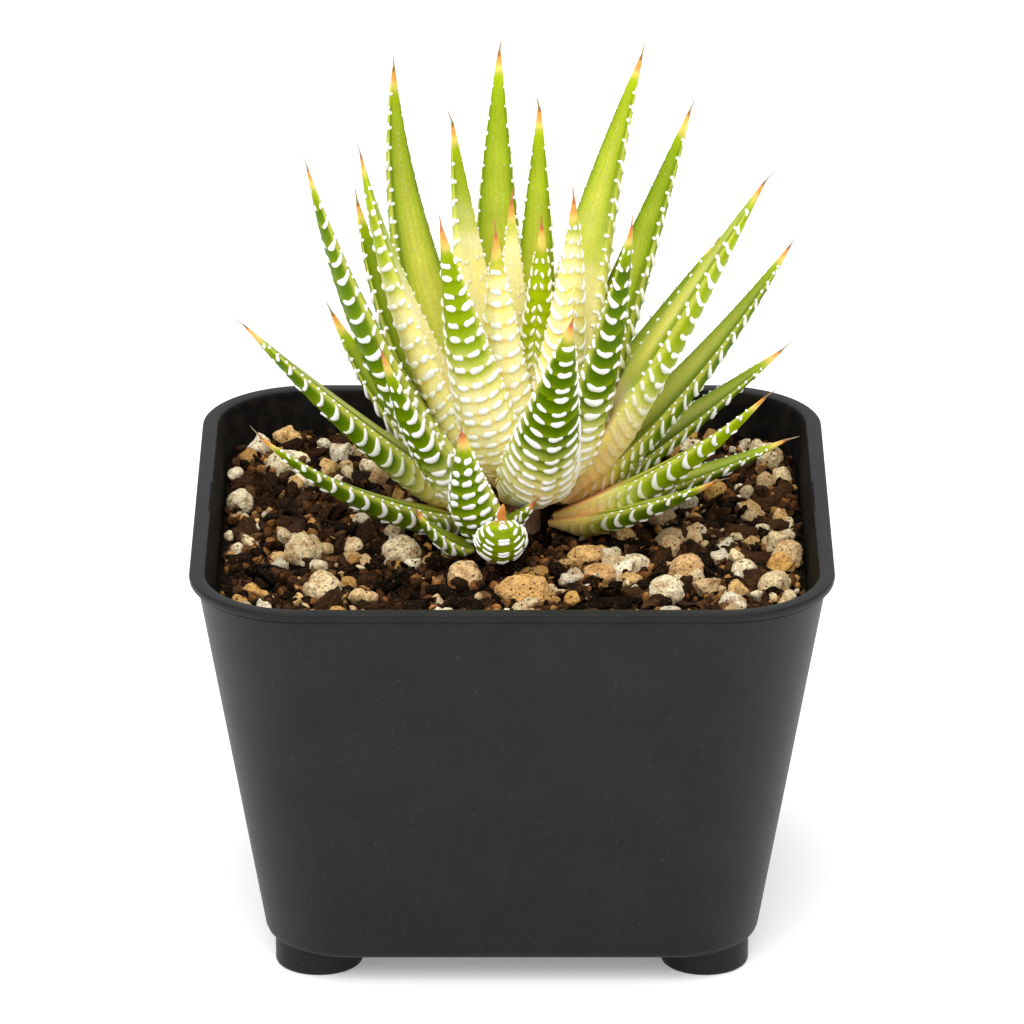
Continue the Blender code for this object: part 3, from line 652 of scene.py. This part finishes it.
class Leaf:
    """One leaf's course and skin, which its body, bands and teeth all lie on."""

    def __init__(self, axis, row):
        (self.name, azimuth, swing, lean0, lean1, self.length, self.width, out, height,
         self.cream, self.green, self.pink, self.stripe) = row
        self.stub = self.name == "offset_leaf_round"      # a globe with a dried stub on top
        self.fatness = FATNESS.get(self.name, 0.50)
        self.scale = min(1.0, self.length / 30)
        self.young = self.name.startswith(("heart", "inner", "leaf_front", "offset"))
        self.short = self.length < SHORT_LEAF
        self.dash = DASH.get(self.name, USUAL_DASH)
        self.crescent = 0.0 if self.dash < BEAD else 1.0
        self.living = 1 - NEEDLE / self.length * (0.6 if self.short else 1.0)
        turn = math.radians(azimuth)
        start = np.array([axis[0] + out * MM * math.cos(turn), axis[1] + out * MM * math.sin(turn),
                          height * MM])
        shares = np.linspace(0, 1, COURSE_STEPS + 1)
        lean = np.radians(lean0 + (lean1 - lean0) * shares)
        turn = np.radians(azimuth + swing * shares)
        along = np.stack([np.cos(lean) * np.cos(turn), np.cos(lean) * np.sin(turn), np.sin(lean)], 1)
        self.upper = np.stack([-np.sin(lean) * np.cos(turn), -np.sin(lean) * np.sin(turn),
                               np.cos(lean)], 1)
        self.sideways = np.cross(along, self.upper)
        roll = math.radians(ROLL.get(self.name, 0.0))
        self.upper, self.sideways = (self.upper * math.cos(roll) + self.sideways * math.sin(roll),
                                     self.sideways * math.cos(roll) - self.upper * math.sin(roll))
        kink = np.array([grow.gauss(0, 0.09) for _ in range(3)])
        along[shares > self.living] += kink
        steps = along[:-1] * (self.length * MM / COURSE_STEPS)
        self.at = start + np.concatenate([np.zeros((1, 3)), np.cumsum(steps, axis=0)])
        self.bands = []
        gap = BAND_GAP.get(self.name, USUAL_GAP)
        first = min(FIRST_GAP, gap)
        place = 0.5 if self.short else 1.3
        end = self.length * self.living - 3.4 * self.scale
        if self.stub:
            end = self.length * (BALL_AT + BALL_REACH)
        while place < end:
            self.bands.append(place)
            grown = ease(0.06, 0.5, place / self.length)
            place += (first + (gap - first) * grown) * grow.uniform(0.9, 1.1)
        self.bands = np.array(self.bands)

    def half(self, share):
        """Half width in mm: clasping base, shoulder, long taper, then the thin dry needle."""
        share = np.asarray(share, dtype=float)
        if self.stub:
            round_part = 1 - ((share - BALL_AT) / BALL_REACH) ** 2
            ball = np.sqrt(np.maximum(0, round_part)) * self.width / 2
            return np.maximum(ball, 0.7 * np.sqrt(((1 - share) / 0.2).clip(0.01, 1)))
        base, full_at = SHOULDER.get(self.name, USUAL_SHOULDER)
        shoulder = base + (1 - base) * np.minimum(1.0, share / full_at)
        taper = 1.001 - np.clip((share - 0.1) / 0.9, 0.0, 1.0) ** 1.5
        full = self.width / 2 * shoulder * np.maximum(taper, 0)
        past = (share - self.living) * self.length
        drawn = 0.30 + 0.21 * np.maximum(-past, 0)
        living = np.minimum(full, 2 * drawn) if self.short else (full ** -4 + drawn ** -4) ** -0.25
        needle = 0.19 - 0.05 * past + 0.12 * np.exp(-np.maximum(past, 0) / 0.2)
        return np.where(past > 0, np.minimum(needle, living), living).clip(0.04)

    def rise(self, share, t):
        """How far in mm a band climbs towards the tip at t: 0 on the keel, 1 on an edge."""
        t = np.where(np.abs(t) > 1, np.maximum(2 - np.abs(t), 0), np.abs(t))
        climb = self.half(share) * 0.34 * t ** 1.6 + 0.16 * np.exp(-(t / 0.12) ** 2)
        hook = self.crescent * ((t - 0.55) / 0.45) ** 2 * np.minimum(1, self.half(share) / 3)
        return climb + hook * (t > 0)

    def skin(self, share, angle):
        """Points of the skin in metres at shares of the length and angles: 90 up, 270 the keel."""
        place = np.clip(share, 0.0, 1.0) * COURSE_STEPS
        i = np.minimum(place.astype(int), COURSE_STEPS - 1)
        part = (place - i)[:, None]
        at, sideways, upper = (a[i] * (1 - part) + a[i + 1] * part
                               for a in (self.at, self.sideways, self.upper))
        half = self.half(share) * MM
        x, y = np.cos(angle), np.sin(angle)
        high = np.maximum(y, 0)
        face = 0.4 * self.fatness * high ** 0.75 * (1.0 - 0.62 * high ** 3)
        heel = 0.5 + 0.5 * np.minimum(1.0, share / 0.12)
        keel = 1 + 0.09 * np.exp(-((x - 0.05) / 0.15) ** 2)
        back = 1.6 * self.fatness * heel * keel * y
        lift = half * np.where(y >= 0, face, back)
        return at + sideways * (x * half)[:, None] + upper * lift[:, None]

    def outward(self, share, angle):
        """Outward direction of the skin."""
        around = self.skin(share, angle + 0.04) - self.skin(share, angle - 0.04)
        step = 0.25 / self.length
        along = self.skin(share + step, angle) - self.skin(share - step, angle)
        out = np.cross(along, around)
        return out / np.maximum(np.linalg.norm(out, axis=1), 1e-12)[:, None]

    def phase(self, share, angle):
        """Distance in mm past the last band, to the next one, and the share of the way there."""
        t = np.clip((np.degrees(angle) % 360 - 270) / 90, -1, 1)
        t = np.where(np.sin(angle) > 0, np.sign(np.cos(angle)), t)
        place = share * self.length - self.rise(share, t)
        i = np.clip(np.searchsorted(self.bands, place) - 1, 0, len(self.bands) - 2)
        past = place - self.bands[i]
        gap = self.bands[i + 1] - self.bands[i]
        return past, gap - past, np.clip(past / gap, 0, 1)

    def marked(self, share, least):
        """How far the bands stand out: all the way, but from least over a pink base."""
        if self.pink <= 0.2:
            return 1.0
        return least + (1 - least) * ease(self.pink - 0.08, self.pink + 0.12, share)

    def relief(self, share, angle):
        """Height in mm of the swelling that carries each band, gone on the upper face."""
        past, left, _ = self.phase(share, angle)
        swell = np.maximum(np.exp(-(past / 0.75) ** 2), np.exp(-(left / 0.28) ** 2))
        back = ease(0.25, -0.1, np.sin(angle))
        tip = (1 - ease(self.living - 0.14, self.living - 0.05, share)) * self.marked(share, 0.25)
        return 0.13 * swell * back * tip * np.clip(self.half(share) / 3, 0.3, 1)

    def surface(self, share, angle, height=0.0):
        """The finished skin with its swellings, and a height in mm above it."""
        out = self.outward(share, angle)
        return self.skin(share, angle) + out * ((self.relief(share, angle) + height) * MM)[:, None]

    def colour(self, share, angle, blotch):
        """Colour of the skin: cream from the base, green beyond, dry tip; on the back, lime just above each
        band as painted light and darker green below the next as painted shade.
        """
        x, y = np.cos(angle), np.sin(angle)
        past, _, phase = self.phase(share, angle)
        back = ease(0.1, -0.1, y)
        green = toward(LIME, MID, min(1, self.green * 2))
        green = toward(green, DEEP, max(0, self.green * 2 - 1))
        dim = np.clip(share / 0.9, 0, 1)
        # On the back, darker green just below each band is painted shade under its swelling, and the lime
        # glow just above each band is painted light on it.
        under = toward(green, DEEP, 0.25 * ease(0.5, 1.0, phase))
        glow = np.exp(-np.maximum(past, 0) / 0.55) * (0.85 - 0.35 * dim)
        under = toward(under, LIME, glow)
        face = toward(green, LIME, 0.4)
        face = toward(face, (MID + DEEP) / 2 if self.green < 0.3 else DEEP,
                      0.9 * ease(0.55, 0.98, np.abs(x)))
        face = toward(face, MID, 0.45 * ease(0.3, 0.75, share) * (1 - 0.4 * self.stripe))
        pale = np.exp(-(x / 0.66) ** 2) * self.stripe * (1 - ease(0.42, 1.0, share))
        streak = 0.12 * np.sin(x * 31 + 3 * blotch) * self.stripe
        face = toward(face, STRIPE, np.clip(pale + streak, 0, 1))
        body = face + (under - face) * back[:, None]
        at = share + 0.06 * blotch + 0.10 * (phase - 0.5) * back
        edge = ease(self.cream - 0.20, self.cream + 0.16, at)
        # In the cream zone the butter darkens towards SHADE just below each band on the back, as painted
        # shade; the blotches vary it at random.
        shade = np.clip(0.3 + 0.5 * blotch + 0.7 * ease(0.45, 1.0, phase) * back, 0, 1)
        butter = toward(CREAM, BUTTER, shade)
        butter = toward(butter, SHADE, 0.5 * ease(0.7, 1.0, phase) * back)
        skin = toward(butter, LIME, 0.75 * ease(0.0, 0.6, edge))
        skin = skin + (body - skin) * ease(0.3, 1.0, edge)[:, None]
        if self.pink:
            skin = toward(skin, PINK, 0.85 * ease(self.pink + 0.08, self.pink - 0.12, share)
                          * (0.35 + 0.65 * ease(-0.6, 0.1, y)))
        skin = toward(skin, STRIPE, 0.5 * ease(0.95, 1.0, np.abs(x)))
        to_end = (self.living - share) * self.length / self.scale
        skin = toward(skin, LIME, 0.6 * ease(6.5, 3.5, to_end + blotch))
        skin = toward(skin, STRAW, 0.75 * ease(3.8, 2.0, to_end + blotch))
        skin = toward(skin, ORANGE, 0.85 * ease(2.3, 0.8, to_end + 1.2 * blotch))
        skin = toward(skin, BLUSH if self.young else RUST, 0.9 * ease(0.5, 0.1, to_end))
        skin = toward(skin, BLUSH if self.young else DRY, ease(0.0, -0.25, to_end))
        if self.stub:
            skin = toward(skin, ORANGE * 0.8, 0.9 * ease(0.70, 0.78, share))
        return skin * (1 + 0.12 * blotch)[:, None]


def dashes_of(leaf):
    """Every tubercle of a leaf: (band mm, t from, t to, half thickness, height), t 0 on the keel."""
    dash, beaded, outer = leaf.dash, leaf.dash < BEAD, leaf.name.startswith("outer")
    found = []
    for number, place in enumerate(leaf.bands):
        share = place / leaf.length
        half = float(leaf.half(share))
        thick = (0.34 + 0.14 * ease(0.02, 0.3, share)) * (1 - 0.25 * ease(0.7, 0.95, share))
        thick *= (0.6 + 0.4 * leaf.scale) * (0.82 if outer else 1.0)
        if leaf.stub:
            thick *= 0.55
        tall = 0.10 + 0.11 * ease(0.0, 0.3, share)
        mm = 1 / (FLANK * half)                           # one millimetre as a step of t
        slender = half < 1.0
        keel = grow.random()
        keel_reach = min(0.5, 0.16 * half + 0.12)
        if slender:
            found.append((place, -0.32 * mm, 0.32 * mm, thick * 0.9, tall))
        elif beaded:
            found.append((place + (0.25 if number % 2 else -0.2), -0.42 * dash * mm * 0.9,
                          0.42 * dash * mm * 0.9, thick, tall))
        elif keel < 0.75:
            for lean in (-1, 1):
                found.append((place + grow.uniform(-0.1, 0.25), lean * 0.42 * mm - keel_reach * mm * 0.7,
                              lean * 0.42 * mm + keel_reach * mm * 0.7, thick * 0.95, tall))
        clear = 0.6 * mm if slender else (0.5 * dash + 0.3) * mm if beaded else 1.15 * mm
        for side in (-1, 1):
            t = clear + grow.uniform(-0.1, 0.15) * mm
            edge = 0.96 if outer else 1.04
            while t < edge - 0.05:
                length = dash * grow.uniform(0.7, 1.2) * (1 - 0.5 * ease(0.45, 0.85, share)) * mm
                end = min(t + length, edge)
                if edge - end < 0.7 * mm:
                    end = edge
                if end - t > 0.3 * mm and not (share > 0.5 and grow.random() < 0.06):
                    wobble = grow.uniform(-0.14, 0.14)
                    found.append((place + wobble, side * t, side * end,
                                  thick * grow.uniform(0.85, 1.15), tall * grow.uniform(0.9, 1.15)))
                t = end + grow.uniform(0.28, 0.5) * mm
            if leaf.name in RIDGED_FACE and share < 0.6:
                for across in (1.35, 1.62):
                    found.append((place + grow.uniform(-0.3, 0.3), side * across,
                                  side * (across + 0.2), 0.4, 0.13))
    strong = leaf.name.startswith(("tall", "slim", "pale", "leaf"))
    bold = 1.0 if strong else 0.65                        # size of the teeth on the edges
    inward = 0.12 * strong
    for side in (-1, 1):
        place = leaf.length * 0.06
        while place < leaf.length * (0.6 if leaf.stub else leaf.living) - 3.6 * leaf.scale:
            mm = 1 / (FLANK * float(leaf.half(place / leaf.length)))
            wide = min((0.22 + 0.16 * bold) * mm + 0.6 * inward, 0.26)
            found.append((place, side * (1.04 + inward - wide), side * (1.04 + inward + wide),
                          grow.uniform(0.2, 0.3) * (0.5 + 0.5 * bold) * 1.15,
                          grow.uniform(0.26, 0.38) * bold))
            place += grow.uniform(1.1, 1.9) * (1.75 if strong else 1.0)
    place = leaf.length * 0.12                            # fine dots on the upper face
    step, stray = (1.15, 0.03) if leaf.name in DOTTED_LINE else (4.5, 0.3)
    while place < leaf.length * 0.8:
        t = 2.0 + grow.gauss(0, stray)
        wide = 0.07 / float(leaf.half(place / leaf.length))
        found.append((place, t - wide, t + wide, 0.12, 0.07))
        place += step * grow.uniform(0.7, 1.3)
    return found


# one round cap: each is drawn out along its band, made blunt at both ends and laid on the skin
cap = bmesh.new()
bmesh.ops.create_uvsphere(cap, u_segments=8, v_segments=8, radius=1.0)
across, up, way = np.array([v.co[:] for v in cap.verts]).T
cap_mesh = as_mesh("cap", cap)
blunt = np.sqrt(np.maximum(0, 1 - way ** 4)) / np.sqrt(np.maximum(1e-6, 1 - way ** 2))
blunt = np.where(np.abs(way) > 0.999, 1.0, np.minimum(blunt, 1.45))
for axis, rows in (((STEM.x, STEM.y), ROSETTE), (OFFSET_AXIS, OFFSET)):
    for row in rows:
        leaf = Leaf(axis, row)
        bm = bmesh.new()
        bmesh.ops.create_cone(bm, cap_ends=True, segments=SIDES, radius1=1.0, radius2=1.0, depth=1.0)
        long_edges = [e for e in bm.edges if abs(e.verts[0].co.z - e.verts[1].co.z) > 0.5]
        bmesh.ops.subdivide_edges(bm, edges=long_edges, cuts=int(leaf.length / STATION))
        body = np.array([v.co[:] for v in bm.verts])
        body_faces = len(bm.faces)
        share, angle = body[:, 2] + 0.5, np.arctan2(body[:, 1], body[:, 0]) % math.tau
        places = leaf.surface(share, angle)
        blotch = np.array([noise.noise(Vector(p) / (3.4 * MM)) for p in places])
        tints = leaf.colour(share, angle, blotch)

        dashes = dashes_of(leaf)
        string = bmesh.new()
        for _ in dashes:
            string.from_mesh(cap_mesh)
        poured(bm, as_mesh("string", string))

        shares, angles, heights, whites = [], [], [], []
        for place, t0, t1, thick, tall in dashes:
            centre = (t0 + t1) / 2
            t = centre + way * (t1 - t0) / 2
            knobs = 1 + 0.16 * np.sin(way * grow.uniform(2.5, 5.0) + grow.uniform(0, 6))
            at = place / leaf.length
            climb = leaf.rise(at, t if abs(centre) < 1 else np.full(len(t), centre))
            mm = place + climb + across * blunt * thick * knobs
            shares.append(mm / leaf.length)
            angles.append(np.radians(270 + 90 * t))
            heights.append(np.maximum(up * blunt * knobs, -0.4) * tall * leaf.marked(at, 0.35))
            white = 0.3 if abs(t0) > 1.3 else 0.7 + 0.3 * float(ease(0.0, 0.25, at))
            # The caps' lower sides keep more of the leaf colour: painted shade at their edges.
            whites.append(white * leaf.marked(at, 0.12) * (1 - 0.35 * ease(0.35, -0.3, up)))
        shares, angles = np.concatenate(shares), np.concatenate(angles)
        cap_places = leaf.surface(shares, angles, np.concatenate(heights))
        plain = leaf.colour(shares, angles, np.zeros(len(shares)))
        cap_tints = toward(plain, WAX, np.concatenate(whites))
        layer = bm.verts.layers.float_color.new("skin")
        for v, spot, tint in zip(bm.verts, np.concatenate([places, cap_places]),
                                 np.concatenate([tints, cap_tints])):
            v.co = spot
            v[layer] = (*tint, 1.0)
        bm.faces.ensure_lookup_table()
        for face in bm.faces[body_faces:]:
            face.material_index = 1
        bm.normal_update()
        bmesh.ops.recalc_face_normals(bm, faces=bm.faces)
        piece = finished(f"{leaf.name}_grown", bm, [leaf_skin, wax_cap], sharp=75.0)
        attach(piece, "root")
        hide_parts(leaf.name)

# ---- Studio --------------------------------------------------------------
# A white sweep with a soft box high on the left, a weaker one on the right and an even dome, so
# the pot keeps only a soft shadow at its feet.
floor_mesh = bmesh.new()
bmesh.ops.create_grid(floor_mesh, x_segments=1, y_segments=1, size=4.0)
floor_paint = new_material("lit_white_table", Base_Color=linear("#f4f4f4"), Roughness=0.9,
                           Emission_Color=linear("#ffffff"), Emission_Strength=0.25)[0]
sweep = finished("floor", floor_mesh, [floor_paint])

world = bpy.data.worlds.new("studio_dome")
bpy.context.scene.world = world
world.use_nodes = True
dome = world.node_tree.nodes["Background"].inputs
dome["Color"].default_value = linear("#ffffff")
dome["Strength"].default_value = 1.0
for name, place, size, power in (("key_box", (-0.25, -0.95, 1.10), 1.0, 10.0),
                                 ("top_box", (0.05, -0.05, 1.45), 1.2, 6.0)):
    lamp = bpy.data.lights.new(name, "AREA")
    lamp.size = size
    lamp.energy = power
    lamp_object = bpy.data.objects.new(name, lamp)
    bpy.context.scene.collection.objects.link(lamp_object)
    lamp_object.location = place
    aim = Vector((0, 0, 0.07)) - Vector(place)
    lamp_object.rotation_euler = aim.to_track_quat("-Z", "Y").to_euler()

bpy.context.scene.view_settings.view_transform = "Standard"
CAMERA_DOWN = math.radians(21.47)
CAMERA_AWAY = 1.232
AIM_HEIGHT = 0.0581
lens = bpy.data.cameras.new("portrait_lens")
lens.sensor_width = 36.0
lens.lens = 304.5
camera = bpy.data.objects.new("camera", lens)
bpy.context.scene.collection.objects.link(camera)
camera.location = (0.0, -CAMERA_AWAY * math.cos(CAMERA_DOWN),
                   AIM_HEIGHT + CAMERA_AWAY * math.sin(CAMERA_DOWN))
camera.rotation_euler = (math.pi / 2 - CAMERA_DOWN, 0.0, 0.0)
bpy.context.scene.camera = camera
